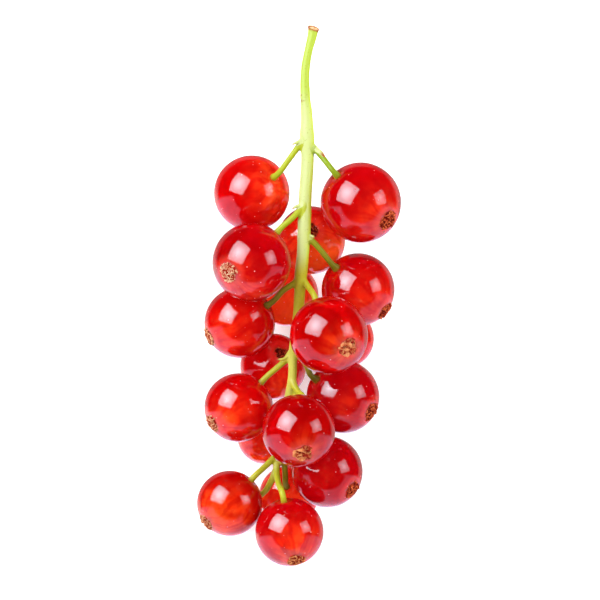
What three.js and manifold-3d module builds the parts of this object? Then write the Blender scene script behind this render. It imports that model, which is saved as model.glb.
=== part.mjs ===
// A sprig of redcurrants, cut from the bush and laid down on a table.
//
// A green stalk carries nineteen berries, each on a short thread of a stalk of its own, and each
// berry keeps the dry brown remains of its flower at its far end.
//
// Millimetres, +Z up. The stalk lies along Y with its cut end at +Y, and the lowest berries rest
// on z = 0.

import * as THREE from "three";
import { mergeVertices } from "three/addons/utils/BufferGeometryUtils.js";
import Module from "manifold-3d";

const wasm = await Module();
wasm.setup();

// ---------- Berries ----------

// Where each berry lies: its centre and radius, the way its stalk end and its flower end face,
// and the way its own thin stalk takes, from inside the main stalk to near the berry.
const BERRIES = [
  {
    name: "berry_01", // the highest, on the left
    centre: [-6.8, 15.2, 11.0],
    radius: 5.5,
    stalkEnd: [0.59, 0.43, 0.68],
    flowerEnd: [-0.77, -0.2, -0.6],
    stalkRoute: [[1.1, 23.7, 16.2], [0.3, 22.4, 16.3], [-1.5, 19.9, 16.1]],
  },
  {
    name: "berry_02", // the highest on the right, and the largest
    centre: [9.0, 13.8, 15.2],
    radius: 5.85,
    stalkEnd: [-0.6, 0.68, 0.42],
    flowerEnd: [0.63, -0.42, 0.52],
    stalkRoute: [[1.3, 22.5, 16.2], [2.7, 21.2, 16.6], [4.0, 19.6, 17.2]],
  },
  {
    name: "berry_03",
    centre: [-6.8, 5.15, 17.7],
    radius: 5.7,
    stalkEnd: [0.65, 0.76, -0.05],
    flowerEnd: [-0.61, -0.27, 0.76],
    stalkRoute: [[0.9, 14.3, 16.2], [0.4, 13.1, 16.6], [-1.1, 11.4, 17.2]],
  },
  {
    name: "berry_04", // under the main stalk
    centre: [1.8, 8.4, 8.9],
    radius: 4.95,
    stalkEnd: [-0.15, 0.7, -0.7],
    flowerEnd: [-0.03, 0.28, 0.96],
    stalkRoute: [[1.1, 17.2, 16.0], [1.0, 16.0, 13.5], [0.8, 14.6, 9.0]],
  },
  {
    name: "berry_05",
    centre: [8.6, 1.2, 12.0],
    radius: 5.3,
    stalkEnd: [-0.62, 0.61, 0.49],
    flowerEnd: [0.73, -0.57, 0.25],
    stalkRoute: [[0.7, 9.4, 16.0], [1.8, 8.4, 15.9], [3.3, 6.8, 15.5]],
  },
  {
    name: "berry_06", // on top, in the middle
    centre: [4.35, -5.4, 19.8],
    radius: 5.65,
    stalkEnd: [-0.33, 0.89, -0.31],
    flowerEnd: [0.52, -0.32, 0.79],
    stalkRoute: [[0.45, 3.2, 15.2], [0.9, 2.3, 15.7], [1.7, 1.2, 16.7]],
  },
  {
    name: "berry_07",
    centre: [-8.55, -3.6, 11.1],
    radius: 5.15,
    stalkEnd: [0.78, 0.5, 0.38],
    flowerEnd: [-0.84, -0.4, 0.22],
    stalkRoute: [[0.3, 2.9, 15.1], [-0.7, 2.1, 14.9], [-2.2, 1.1, 14.5]],
  },
  {
    name: "berry_08", // on the table, under the main stalk
    centre: [-1.65, 0.45, 4.35],
    radius: 4.55,
    stalkEnd: [0.35, 0.45, 0.82],
    flowerEnd: [-0.5, -0.62, -0.6],
    stalkRoute: [[0.5, 5.8, 15.6], [0.4, 4.6, 13.5], [0.2, 3.3, 11.0]],
  },
  {
    name: "berry_09", // on the table
    centre: [-3.7, -9.95, 4.6],
    radius: 4.8,
    stalkEnd: [0.6, 0.5, -0.62],
    flowerEnd: [0.26, 0.43, 0.87],
    stalkRoute: [[-0.3, -5.0, 13.5], [0.3, -5.9, 10.0], [0.4, -6.5, 5.5]],
  },
  {
    name: "berry_10",
    centre: [-8.7, -15.9, 11.5],
    radius: 5.0,
    stalkEnd: [0.67, 0.74, 0.08],
    flowerEnd: [-0.75, -0.44, 0.37],
    stalkRoute: [[-1.0, -7.9, 12.9], [-1.8, -8.9, 12.8], [-3.1, -10.1, 12.4]],
  },
  {
    name: "berry_11",
    centre: [6.4, -14.35, 10.5],
    radius: 5.3,
    stalkEnd: [-0.74, 0.5, 0.45],
    flowerEnd: [0.75, -0.38, 0.4],
    stalkRoute: [[-0.7, -7.3, 13.2], [0.3, -8.6, 13.4], [1.2, -9.9, 13.5]],
  },
  {
    name: "berry_12", // on top, towards the tip
    centre: [0.0, -19.2, 19.1],
    radius: 5.3,
    stalkEnd: [0.1, 0.77, -0.63],
    flowerEnd: [0.14, -0.6, 0.75],
    stalkRoute: [[-0.95, -11.9, 12.7], [-0.55, -12.8, 13.1], [-0.05, -13.6, 13.8]],
  },
  {
    name: "berry_13",
    centre: [4.1, -25.2, 11.2],
    radius: 5.2,
    stalkEnd: [-0.62, 0.73, 0.3],
    flowerEnd: [0.68, -0.48, 0.42],
    stalkRoute: [[-1.05, -12.0, 12.3], [-0.6, -13.5, 12.2], [0.0, -16.5, 12.2], [0.1, -18.8, 12.5]],
  },
  {
    name: "berry_14", // near the tip, on the left
    centre: [-10.0, -29.8, 11.9],
    radius: 4.75,
    stalkEnd: [0.67, 0.73, 0.12],
    flowerEnd: [-0.71, -0.56, 0.31],
    stalkRoute: [[-3.0, -22.6, 11.0], [-3.8, -23.4, 11.3], [-5.2, -24.75, 12.0]],
  },
  {
    name: "berry_15", // at the very tip
    centre: [-1.35, -33.9, 14.4],
    radius: 4.95,
    stalkEnd: [-0.17, 0.94, 0.29],
    flowerEnd: [0.2, -0.84, 0.51],
    stalkRoute: [[-3.2, -23.2, 10.9], [-3.2, -25.2, 11.6], [-2.9, -27.0, 13.4]],
  },
  {
    name: "berry_16", // on the table, under the tip
    centre: [-1.45, -28.7, 4.1],
    radius: 4.3,
    stalkEnd: [-0.09, 0.34, 0.94],
    flowerEnd: [0.2, -0.77, -0.6],
    stalkRoute: [[-2.7, -21.4, 11.0], [-2.3, -23.0, 10.7], [-2.0, -24.9, 10.1]],
  },
  {
    name: "berry_17", // on the table
    centre: [-4.9, -20.1, 3.85],
    radius: 4.05,
    stalkEnd: [0.5, 0.55, 0.67],
    flowerEnd: [-0.75, 0.2, -0.6],
    stalkRoute: [[-1.9, -15.8, 11.6], [-1.9, -16.4, 10.2], [-2.0, -16.9, 8.6]],
  },
  {
    name: "berry_18", // on the table, under the middle
    centre: [6.7, -5.9, 4.05],
    radius: 4.25,
    stalkEnd: [-0.6, 0.45, 0.66],
    flowerEnd: [0.25, -0.75, -0.6],
    stalkRoute: [[-0.1, -3.4, 13.7], [0.9, -3.5, 12.4], [2.2, -3.6, 10.3]],
  },
  {
    name: "berry_19", // on the table near the tip, and the smallest
    centre: [-9.3, -30.5, 3.3],
    radius: 3.5,
    stalkEnd: [0.6, 0.3, 0.74],
    flowerEnd: [-0.7, -0.4, -0.59],
    stalkRoute: [[-3.2, -24.9, 11.2], [-3.9, -26.4, 10.4], [-5.1, -28.3, 8.7]],
  },
];

const BERRY_SIDES = 18;
const BERRY_RINGS = 10;
const SKIN_GAP = 0.28; // between a berry and what grows out of it
const FLOWER_PIT_DEPTH = 0.45;
const STALK_PIT_DEPTH = 0.55;

// ---------- Stalks ----------

// The main stalk from its cut end to the last fork: x, y, z and radius. It swells at each fork.
const MAIN_STALK = [
  [2.2, 39.0, 15.3, 0.88],
  [1.95, 37.9, 15.5, 0.66],
  [1.45, 35.9, 15.8, 0.58],
  [0.95, 32.85, 16.0, 0.62],
  [0.95, 29.2, 16.2, 0.7],
  [1.15, 26.45, 16.3, 0.83],
  [1.2, 23.0, 16.3, 1.05],
  [1.28, 20.2, 16.3, 0.9],
  [0.95, 14.6, 16.3, 0.91],
  [0.8, 10.1, 16.2, 0.93],
  [0.6, 6.2, 15.8, 0.86],
  [0.35, 3.7, 15.4, 0.9],
  [0.15, 0.8, 14.7, 0.77],
  [-0.05, -2.25, 14.0, 0.74],
  [-0.4, -5.3, 13.5, 0.72],
  [-0.85, -8.35, 13.1, 0.69],
  [-0.87, -10.4, 12.8, 0.7],
  [-0.95, -11.6, 12.6, 0.68],
  [-1.4, -13.95, 12.1, 0.56],
  [-2.1, -17.0, 11.5, 0.5],
  [-2.7, -20.1, 11.1, 0.47],
  [-3.2, -23.4, 10.9, 0.42],
];
const MAIN_STALK_SIDES = 10;
const MAIN_STALK_STEPS = 40;

const THIN_STALK_SIDES = 6;
const THIN_STALK_STEPS = 9;
const THIN_STALK_RADIUS = 0.34;
const FORK_RADIUS = 0.52; // where a thin stalk leaves the main one
const FORK_SHARE = 0.3; // of the thin stalk's length
const COLLAR_RADIUS = 0.5; // where it meets its berry
const COLLAR_SHARE = 0.2;
const APPROACH = 1.0; // how far outside the berry's skin the thin stalk turns straight in

// The dry scales under the forks: where each one leaves the stalk, its bend and its tip.
const SCALES = [
  [[0.2, 22.75, 16.4], [-0.5, 22.4, 16.9], [-1.0, 22.1, 17.0]],
  [[2.6, 21.4, 16.6], [3.1, 21.25, 17.0], [3.7, 20.7, 17.1]],
  [[0.1, 13.4, 16.8], [-0.5, 13.15, 17.2], [-1.0, 12.8, 17.2]],
  [[1.5, 9.0, 16.2], [2.0, 8.9, 16.6], [2.4, 8.7, 16.7]],
  [[-1.6, -8.6, 13.2], [-2.5, -8.9, 13.4], [-3.2, -8.9, 13.3]],
  [[-2.6, -22.6, 11.1], [-2.5, -23.7, 11.4], [-2.55, -24.4, 11.3]],
];
const SCALE_RADIUS = 0.2;
const SCALE_TIP_RADIUS = 0.08;
const SCALE_SIDES = 6;
const SCALE_STEPS = 3;

// The knot of a shed bud on the bare stretch of the main stalk.
const KNOT = { centre: [0.5, 29.1, 16.4], radius: 0.38 };

// ---------- Dry flowers ----------

const FLOWER_LOBES = 5;
const FLOWER_WIDTH_SHARE = 0.26; // the dry flower's radius, as a share of its berry's
const FLOWER_HEIGHT_SHARE = 0.19;
const LOBE_DEPTH = 0.13;
const LOBE_TWIST = 0.5; // radians, from the foot of the flower to its lips
// Radius and height along the outside of a dry flower and back down into its mouth.
const FLOWER_PROFILE = [
  [0.0, 0.0],
  [0.72, 0.0],
  [1.0, 0.3],
  [0.93, 0.62],
  [0.62, 1.0],
  [0.34, 0.86],
  [0.0, 0.58],
];

// ---------- Shapes ----------

// A closed geometry as a solid that can be joined to others and cut by them.
function solidOf(geometry) {
  const bare = geometry.clone();
  bare.deleteAttribute("normal");
  bare.deleteAttribute("uv");
  const merged = mergeVertices(bare, 1e-4);
  return new wasm.Manifold(
    new wasm.Mesh({
      numProp: 3,
      vertProperties: merged.getAttribute("position").array,
      triVerts: Uint32Array.from(merged.index.array),
    }),
  );
}

function meshOf(solid, name, material) {
  const { vertProperties, triVerts } = solid.getMesh();
  const geometry = new THREE.BufferGeometry();
  geometry.setAttribute("position", new THREE.BufferAttribute(vertProperties, 3));
  geometry.setIndex(new THREE.BufferAttribute(triVerts, 1));
  geometry.computeVertexNormals();
  const mesh = new THREE.Mesh(geometry, material);
  mesh.name = name;
  return mesh;
}

const vector = (point) => new THREE.Vector3(...point);
const direction = (point) => vector(point).normalize();

// Stands a geometry that was made along +Y at a place, facing a given way.
function standAt(geometry, place, facing) {
  const turn = new THREE.Quaternion().setFromUnitVectors(new THREE.Vector3(0, 1, 0), facing);
  return geometry.applyQuaternion(turn).translate(place.x, place.y, place.z);
}

// A round twig along a smooth curve: a straight extrusion, one unit long per step, is laid along
// the curve ring by ring, and each ring takes the radius of its place (0 at the start, 1 at the end).
function twig(points, radiusAt, sides, steps) {
  const curve = new THREE.CatmullRomCurve3(points.map(vector));
  const { normals, binormals } = curve.computeFrenetFrames(steps, false);
  const section = new THREE.Shape().absarc(0, 0, 1, 0, 2 * Math.PI);
  const geometry = new THREE.ExtrudeGeometry(section, {
    depth: steps,
    steps,
    curveSegments: sides / 2,
    bevelEnabled: false,
  });
  const position = geometry.getAttribute("position");
  for (let i = 0; i < position.count; i++) {
    const step = Math.round(position.getZ(i));
    const place = curve.getPointAt(step / steps);
    const radius = radiusAt(step / steps, place);
    place.addScaledVector(normals[step], radius * position.getX(i));
    place.addScaledVector(binormals[step], radius * position.getY(i));
    position.setXYZ(i, place.x, place.y, place.z);
  }
  return solidOf(geometry);
}

// The main stalk's radius at a place along Y, between the rows of its list.
function mainStalkRadius(y) {
  const below = MAIN_STALK.findIndex((row) => row[1] <= y);
  if (below < 0) return MAIN_STALK.at(-1)[3];
  if (below === 0) return MAIN_STALK[0][3];
  const [, upperY, , upperRadius] = MAIN_STALK[below - 1];
  const [, lowerY, , lowerRadius] = MAIN_STALK[below];
  return THREE.MathUtils.mapLinear(y, lowerY, upperY, lowerRadius, upperRadius);
}

function mainStalk() {
  const route = MAIN_STALK.map(([x, y, z]) => [x, y, z]);
  return twig(route, (along, place) => mainStalkRadius(place.y), MAIN_STALK_SIDES, MAIN_STALK_STEPS);
}

// A berry's own stalk: wide where it forks off, thin, then a small collar at the berry.
function thinStalk(berry) {
  const facing = direction(berry.stalkEnd);
  const outside = vector(berry.centre).addScaledVector(facing, berry.radius + APPROACH);
  const insideDistance = berry.radius - STALK_PIT_DEPTH + SKIN_GAP;
  const inside = vector(berry.centre).addScaledVector(facing, insideDistance);
  const route = [...berry.stalkRoute, outside.toArray(), inside.toArray()];
  const radiusAt = (along) => {
    const fork = Math.max(0, 1 - along / FORK_SHARE) ** 2;
    const collar = Math.max(0, 1 - (1 - along) / COLLAR_SHARE) ** 2;
    return (
      THIN_STALK_RADIUS +
      (FORK_RADIUS - THIN_STALK_RADIUS) * fork +
      (COLLAR_RADIUS - THIN_STALK_RADIUS) * collar
    );
  };
  return twig(route, radiusAt, THIN_STALK_SIDES, THIN_STALK_STEPS);
}

function dryScale(route) {
  const radiusAt = (along) => THREE.MathUtils.lerp(SCALE_RADIUS, SCALE_TIP_RADIUS, along);
  return twig(route, radiusAt, SCALE_SIDES, SCALE_STEPS);
}

function knot() {
  return solidOf(new THREE.SphereGeometry(KNOT.radius, 8, 6).translate(...KNOT.centre));
}

// The whole green part, grown as one piece.
function stalk() {
  const twigs = [...BERRIES.map(thinStalk), ...SCALES.map(dryScale), knot()];
  return twigs.reduce((joined, twigSolid) => joined.add(twigSolid), mainStalk());
}

const table = solidOf(new THREE.BoxGeometry(200, 200, 20).translate(0, 0, -10));

// A round berry with a shallow pit at each end, pressed flat where it rests on the table.
function berrySolid({ centre, radius, stalkEnd, flowerEnd }) {
  const flowerPitRadius = FLOWER_WIDTH_SHARE * radius * FLOWER_PROFILE[1][0] + SKIN_GAP;
  const rimAngle = Math.asin(flowerPitRadius / radius);
  const profile = [new THREE.Vector2(0, radius - FLOWER_PIT_DEPTH)];
  profile.push(new THREE.Vector2(flowerPitRadius, radius - FLOWER_PIT_DEPTH));
  for (let ring = 0; ring < BERRY_RINGS; ring++) {
    const angle = THREE.MathUtils.lerp(rimAngle, Math.PI, ring / BERRY_RINGS);
    profile.push(new THREE.Vector2(radius * Math.sin(angle), radius * Math.cos(angle)));
  }
  profile.push(new THREE.Vector2(0, -radius));
  profile.reverse();
  const round = new THREE.LatheGeometry(profile, BERRY_SIDES);
  let solid = solidOf(standAt(round, vector(centre), direction(flowerEnd)));

  const pitHeight = 2 * STALK_PIT_DEPTH;
  const pit = new THREE.CylinderGeometry(COLLAR_RADIUS + SKIN_GAP, COLLAR_RADIUS + SKIN_GAP, pitHeight, 8);
  const pitPlace = vector(centre).addScaledVector(direction(stalkEnd), radius);
  solid = solid.subtract(solidOf(standAt(pit, pitPlace, direction(stalkEnd))));
  return centre[2] < radius ? solid.subtract(table) : solid;
}

// The dry flower: a shrunken cup whose five lobes have folded together, twisted a little.
function dryFlower({ centre, radius, flowerEnd }, turn) {
  const widest = FLOWER_WIDTH_SHARE * radius;
  const height = FLOWER_HEIGHT_SHARE * radius;
  const profile = FLOWER_PROFILE.map(([r, h]) => new THREE.Vector2(r * widest, h * height));
  const cup = new THREE.LatheGeometry(profile, 2 * FLOWER_LOBES);
  const position = cup.getAttribute("position");
  for (let i = 0; i < position.count; i++) {
    const [x, y, z] = [position.getX(i), position.getY(i), position.getZ(i)];
    const lift = y / height;
    const angle = Math.atan2(z, x);
    const lobe = 1 + LOBE_DEPTH * lift * Math.cos(FLOWER_LOBES * angle);
    const twisted = angle + turn + LOBE_TWIST * lift;
    const out = Math.hypot(x, z) * lobe;
    position.setXYZ(i, out * Math.cos(twisted), y, out * Math.sin(twisted));
  }
  const facing = direction(flowerEnd);
  const foot = radius - FLOWER_PIT_DEPTH + SKIN_GAP;
  return solidOf(standAt(cup, vector(centre).addScaledVector(facing, foot), facing));
}

// ---------- The sprig ----------

const green = new THREE.MeshStandardMaterial({ color: "#c3d848", roughness: 0.5, metalness: 0 });
const red = new THREE.MeshStandardMaterial({ color: "#c8060c", roughness: 0.12, metalness: 0 });
const brown = new THREE.MeshStandardMaterial({ color: "#a9683a", roughness: 0.9, metalness: 0 });

const sprig = new THREE.Group();
sprig.name = "redcurrant_sprig";
sprig.add(meshOf(stalk(), "stalk", green));
BERRIES.forEach((berry, index) => {
  sprig.add(meshOf(berrySolid(berry), berry.name, red));
  sprig.add(meshOf(dryFlower(berry, index), berry.name.replace("berry", "flower"), brown));
});

// The origin is on the table, under the middle of the sprig's bounding box.
const middle = new THREE.Box3().setFromObject(sprig).getCenter(new THREE.Vector3());
sprig.position.set(-middle.x, -middle.y, 0);

export default sprig;
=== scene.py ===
# %% [markdown]
# # A sprig of redcurrants
#
# A sprig of redcurrants is one thin green stalk with a berry at the end of each of its short
# side stalks. The berries are clear red globes full of juice, and each keeps the dry brown
# remains of its flower at its far end.
#
# The solid model gives every piece its size and place. This lesson keeps those places and makes
# finer pieces in them: the skin of the berries, the wrinkled dry flowers and the forked stalk.
# We start with the solid model as a frame.

# %% Load the frame
import math
import bpy
from mathutils import Matrix, Vector, kdtree


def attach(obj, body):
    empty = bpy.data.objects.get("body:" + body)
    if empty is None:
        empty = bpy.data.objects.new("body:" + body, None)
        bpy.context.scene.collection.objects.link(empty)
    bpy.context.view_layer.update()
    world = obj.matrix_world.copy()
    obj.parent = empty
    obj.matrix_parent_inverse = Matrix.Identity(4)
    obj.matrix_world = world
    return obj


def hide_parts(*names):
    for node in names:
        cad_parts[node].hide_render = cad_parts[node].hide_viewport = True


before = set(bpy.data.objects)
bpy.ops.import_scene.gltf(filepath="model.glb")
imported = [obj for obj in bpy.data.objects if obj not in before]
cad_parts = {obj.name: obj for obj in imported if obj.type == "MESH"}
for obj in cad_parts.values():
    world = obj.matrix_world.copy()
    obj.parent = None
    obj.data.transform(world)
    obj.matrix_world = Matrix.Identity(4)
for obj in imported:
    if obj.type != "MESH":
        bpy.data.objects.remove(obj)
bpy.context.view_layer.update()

MM = 0.001
print("nodes in the frame:", len(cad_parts))

# %% [markdown]
# ## Where everything grows
#
# A berry needs four facts: where its middle is, how big it is, and which way its two ends face.
# The stalk end is where it hangs on, and the flower end is where the dry flower sits. Its own
# thin stalk needs a route from the main stalk, as a short list of points. All of these are in
# millimetres, as on a drawing, and one helper turns a point into metres in the frame.

# %% The berries: number, middle, radius, stalk end, flower end, route of the thin stalk
BERRIES = [
    ("01", (-6.8, 15.2, 11.0), 5.5, (0.59, 0.43, 0.68), (-0.77, -0.2, -0.6),
     [(1.1, 23.7, 16.2), (0.3, 22.4, 16.3), (-1.5, 19.9, 16.1)]),
    ("02", (9.0, 13.8, 15.2), 5.85, (-0.6, 0.68, 0.42), (0.63, -0.42, 0.52),
     [(1.3, 22.5, 16.2), (2.7, 21.2, 16.6), (4.0, 19.6, 17.2)]),
    ("03", (-6.8, 5.15, 17.7), 5.7, (0.65, 0.76, -0.05), (-0.61, -0.27, 0.76),
     [(0.9, 14.3, 16.2), (0.4, 13.1, 16.6), (-1.1, 11.4, 17.2)]),
    ("04", (1.8, 8.4, 8.9), 4.95, (-0.15, 0.7, -0.7), (-0.03, 0.28, 0.96),
     [(1.1, 17.2, 16.0), (1.0, 16.0, 13.5), (0.8, 14.6, 9.0)]),
    ("05", (8.6, 1.2, 12.0), 5.3, (-0.62, 0.61, 0.49), (0.73, -0.57, 0.25),
     [(0.7, 9.4, 16.0), (1.8, 8.4, 15.9), (3.3, 6.8, 15.5)]),
    ("06", (4.35, -5.4, 19.8), 5.65, (-0.33, 0.89, -0.31), (0.52, -0.32, 0.79),
     [(0.45, 3.2, 15.2), (0.9, 2.3, 15.7), (1.7, 1.2, 16.7)]),
    ("07", (-8.55, -3.6, 11.1), 5.15, (0.78, 0.5, 0.38), (-0.84, -0.4, 0.22),
     [(0.3, 2.9, 15.1), (-0.7, 2.1, 14.9), (-2.2, 1.1, 14.5)]),
    ("08", (-1.65, 0.45, 4.35), 4.55, (0.35, 0.45, 0.82), (-0.5, -0.62, -0.6),
     [(0.5, 5.8, 15.6), (0.4, 4.6, 13.5), (0.2, 3.3, 11.0)]),
    ("09", (-3.7, -9.95, 4.6), 4.8, (0.6, 0.5, -0.62), (0.26, 0.43, 0.87),
     [(-0.3, -5.0, 13.5), (0.3, -5.9, 10.0), (0.4, -6.5, 5.5)]),
    ("10", (-8.7, -15.9, 11.5), 5.0, (0.67, 0.74, 0.08), (-0.75, -0.44, 0.37),
     [(-1.0, -7.9, 12.9), (-1.8, -8.9, 12.8), (-3.1, -10.1, 12.4)]),
    ("11", (6.4, -14.35, 10.5), 5.3, (-0.74, 0.5, 0.45), (0.75, -0.38, 0.4),
     [(-0.7, -7.3, 13.2), (0.3, -8.6, 13.4), (1.2, -9.9, 13.5)]),
    ("12", (0.0, -19.2, 19.1), 5.3, (0.1, 0.77, -0.63), (0.14, -0.6, 0.75),
     [(-0.95, -11.9, 12.7), (-0.55, -12.8, 13.1), (-0.05, -13.6, 13.8)]),
    ("13", (4.1, -25.2, 11.2), 5.2, (-0.62, 0.73, 0.3), (0.68, -0.48, 0.42),
     [(-1.05, -12.0, 12.3), (-0.6, -13.5, 12.2), (0.0, -16.5, 12.2), (0.1, -18.8, 12.5)]),
    ("14", (-10.0, -29.8, 11.9), 4.75, (0.67, 0.73, 0.12), (-0.71, -0.56, 0.31),
     [(-3.0, -22.6, 11.0), (-3.8, -23.4, 11.3), (-5.2, -24.75, 12.0)]),
    ("15", (-1.35, -33.9, 14.4), 4.95, (-0.17, 0.94, 0.29), (0.2, -0.84, 0.51),
     [(-3.2, -23.2, 10.9), (-3.2, -25.2, 11.6), (-2.9, -27.0, 13.4)]),
    ("16", (-1.45, -28.7, 4.1), 4.3, (-0.09, 0.34, 0.94), (0.2, -0.77, -0.6),
     [(-2.7, -21.4, 11.0), (-2.3, -23.0, 10.7), (-2.0, -24.9, 10.1)]),
    ("17", (-4.9, -20.1, 3.85), 4.05, (0.5, 0.55, 0.67), (-0.75, 0.2, -0.6),
     [(-1.9, -15.8, 11.6), (-1.9, -16.4, 10.2), (-2.0, -16.9, 8.6)]),
    ("18", (6.7, -5.9, 4.05), 4.25, (-0.6, 0.45, 0.66), (0.25, -0.75, -0.6),
     [(-0.1, -3.4, 13.7), (0.9, -3.5, 12.4), (2.2, -3.6, 10.3)]),
    ("19", (-9.3, -30.5, 3.3), 3.5, (0.6, 0.3, 0.74), (-0.7, -0.4, -0.59),
     [(-3.2, -24.9, 11.2), (-3.9, -26.4, 10.4), (-5.1, -28.3, 8.7)]),
]
# The frame's origin is under the middle of the whole sprig, this far from the drawing's.
ORIGIN_SHIFT = Vector((-0.052, -0.059, 0.0))


def placed(point):
    """A point of the drawing in millimetres, as a place in the frame in metres."""
    return (Vector(point) + ORIGIN_SHIFT) * MM


print("berries to grow:", len(BERRIES))

# %% [markdown]
# ## Camera
#
# The sprig lies on a table and we look straight down on it. A long lens from two metres up keeps
# the round berries round, because a short lens close by would stretch those at the edge.

# %% The camera
CAMERA_HEIGHT = 2.0
SENSOR_WIDTH = 36.0
PICTURE_WIDTH = 87.0 * MM
SPRIG_MIDDLE = Vector((0.14 * MM, -0.36 * MM, 12.0 * MM))
NEAREST_SEEN, FURTHEST_SEEN = 0.1, 20.0

bpy.ops.object.camera_add(
    location=(SPRIG_MIDDLE.x, SPRIG_MIDDLE.y, CAMERA_HEIGHT), rotation=(0, 0, 0))
camera = bpy.context.object
camera.name = "camera"
camera.data.sensor_width = SENSOR_WIDTH
camera.data.lens = SENSOR_WIDTH * (CAMERA_HEIGHT - SPRIG_MIDDLE.z) / PICTURE_WIDTH
camera.data.clip_start, camera.data.clip_end = NEAREST_SEEN, FURTHEST_SEEN
bpy.context.scene.camera = camera
bpy.context.scene.view_settings.view_transform = "Standard"
print("lens in mm:", round(camera.data.lens))

# %% [markdown]
# ## Helpers for node trees
#
# A material, a lamp and the room each take their colours from a tree of small nodes. A node that
# is made and linked by hand takes four or five lines, so each helper here adds one node and
# returns its output. The trees further down then read like formulas: a ramp says where something
# begins, and a mix says what colour it has there.

# %% Helpers for the numbers in a node tree
def value_into(tree, socket, value):
    """Links another node's output into a socket, or sets a plain number there."""
    if isinstance(value, bpy.types.NodeSocket):
        tree.links.new(value, socket)
    else:
        socket.default_value = value


def sums(tree, operation, *values):
    """A Math node."""
    node = tree.nodes.new("ShaderNodeMath")
    node.operation = operation
    for socket, value in zip(node.inputs, values):
        value_into(tree, socket, value)
    return node.outputs[0]


def ramp(tree, value, low, high):
    """0 below low, 1 above high and smooth between. low may be the larger of the two."""
    node = tree.nodes.new("ShaderNodeMapRange")
    node.interpolation_type = "SMOOTHSTEP"
    value_into(tree, node.inputs["Value"], value)
    node.inputs["From Min"].default_value = low
    node.inputs["From Max"].default_value = high
    return node.outputs["Result"]


def from_to(tree, share, at_none, at_full):
    """at_none where the share is 0, at_full where it is 1, and in step between."""
    return sums(tree, "MULTIPLY_ADD", share, at_full - at_none, at_none)


def split(tree, vector):
    """The three parts of a vector, by the names X, Y and Z."""
    node = tree.nodes.new("ShaderNodeSeparateXYZ")
    tree.links.new(vector, node.inputs[0])
    return node.outputs


def distance_to(tree, vector, point):
    """How far a place is from a fixed point."""
    node = tree.nodes.new("ShaderNodeVectorMath")
    node.operation = "DISTANCE"
    node.inputs[1].default_value = point
    tree.links.new(vector, node.inputs[0])
    return node.outputs["Value"]


print("helpers for numbers:", [f.__name__ for f in (sums, ramp, from_to, split, distance_to)])

# %% Helpers for colours and surfaces
def mix_colours(tree, share, first, second, blend="MIX"):
    """The first colour where the share is 0, and the second where it is 1."""
    node = tree.nodes.new("ShaderNodeMix")
    node.data_type = "RGBA"
    node.blend_type = blend
    value_into(tree, node.inputs["Factor"], share)
    value_into(tree, node.inputs["A"], first)
    value_into(tree, node.inputs["B"], second)
    return node.outputs["Result"]


def cloudy(tree, vector, scale, detail=2.0, roughness=0.5):
    """A cloudy pattern between 0 and 1. The scale says about how many clouds fit in a metre."""
    node = tree.nodes.new("ShaderNodeTexNoise")
    node.inputs["Scale"].default_value = scale
    node.inputs["Detail"].default_value = detail
    node.inputs["Roughness"].default_value = roughness
    tree.links.new(vector, node.inputs["Vector"])
    return node.outputs["Fac"]


def kept(tree, name):
    """A number that the mesh keeps for each of its points."""
    node = tree.nodes.new("ShaderNodeAttribute")
    node.attribute_name = name
    return node.outputs["Fac"]


def relief(tree, height, strength, depth):
    """The direction in which a surface with fine bumps faces."""
    node = tree.nodes.new("ShaderNodeBump")
    node.inputs["Strength"].default_value = strength
    node.inputs["Distance"].default_value = depth
    tree.links.new(height, node.inputs["Height"])
    return node.outputs["Normal"]


def new_finish(name):
    """A new material, with its node tree and its shader."""
    material = bpy.data.materials.new(name)
    material.use_nodes = True
    return material, material.node_tree, material.node_tree.nodes["Principled BSDF"]


def grey(level):
    """A plain grey of this brightness. Above 1 it is brighter than white paper."""
    return (level, level, level, 1)


def linear(code):
    """A colour written as on a paint chart, #rrggbb, as the light that the renderer works in."""
    parts = [int(code[i:i + 2], 16) / 255 for i in (1, 3, 5)]
    return tuple(p / 12.92 if p < 0.04045 else ((p + 0.055) / 1.055) ** 2.4 for p in parts) + (1,)


print("a leaf green in linear light:", [round(part, 3) for part in linear("#c8dc4a")])

# %% [markdown]
# ## Table and light
#
# Glossy fruit is lit by what it mirrors. Each berry is a tiny round mirror, so the shape and size
# of the lamps matter as much as their strength: a large softbox on the upper left gives the
# bright window on each berry, and a smaller one on the right gives the second. A real softbox is
# brightest in its middle and fades at its seams, and so do these. The room round them is white
# below and in front, which gives the pale rims, and dark above, which keeps the tops of the
# berries deep red. Each softbox is two lamps in one place, because a lamp that is bright enough
# to show as a window in the fruit would burn out the table. The table itself is faintly lit, as
# a light table is, so that the shadows between the berries stay pale.

# %% A plain pale table. The fruit mirrors the white room in its place
TABLE_SIZE, TABLE_WHITE, TABLE_LIGHT = 12.0, 0.95, 0.3
bpy.ops.mesh.primitive_plane_add(size=TABLE_SIZE, location=(0, 0, 0))
table = bpy.context.object
table.name = "table"
white_table, _, paper = new_finish("white_table")
paper.inputs["Base Color"].default_value = grey(TABLE_WHITE)
paper.inputs["Roughness"].default_value = 0.9
paper.inputs["Emission Color"].default_value = grey(1.0)
paper.inputs["Emission Strength"].default_value = TABLE_LIGHT
table.data.materials.append(white_table)
table.visible_glossy = False
table.visible_transmission = False
print("table:", table.name)

# %% Two softboxes
LAMP_DISTANCE = 0.5
# The power in watts that an area lamp needs for each unit of radiance and square metre.
WATTS_PER_RADIANCE = 4
COOL_WHITE = (0.95, 0.96, 1.06)
MIRRORED_WHITE = (0.72, 0.95, 1.05)
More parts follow.
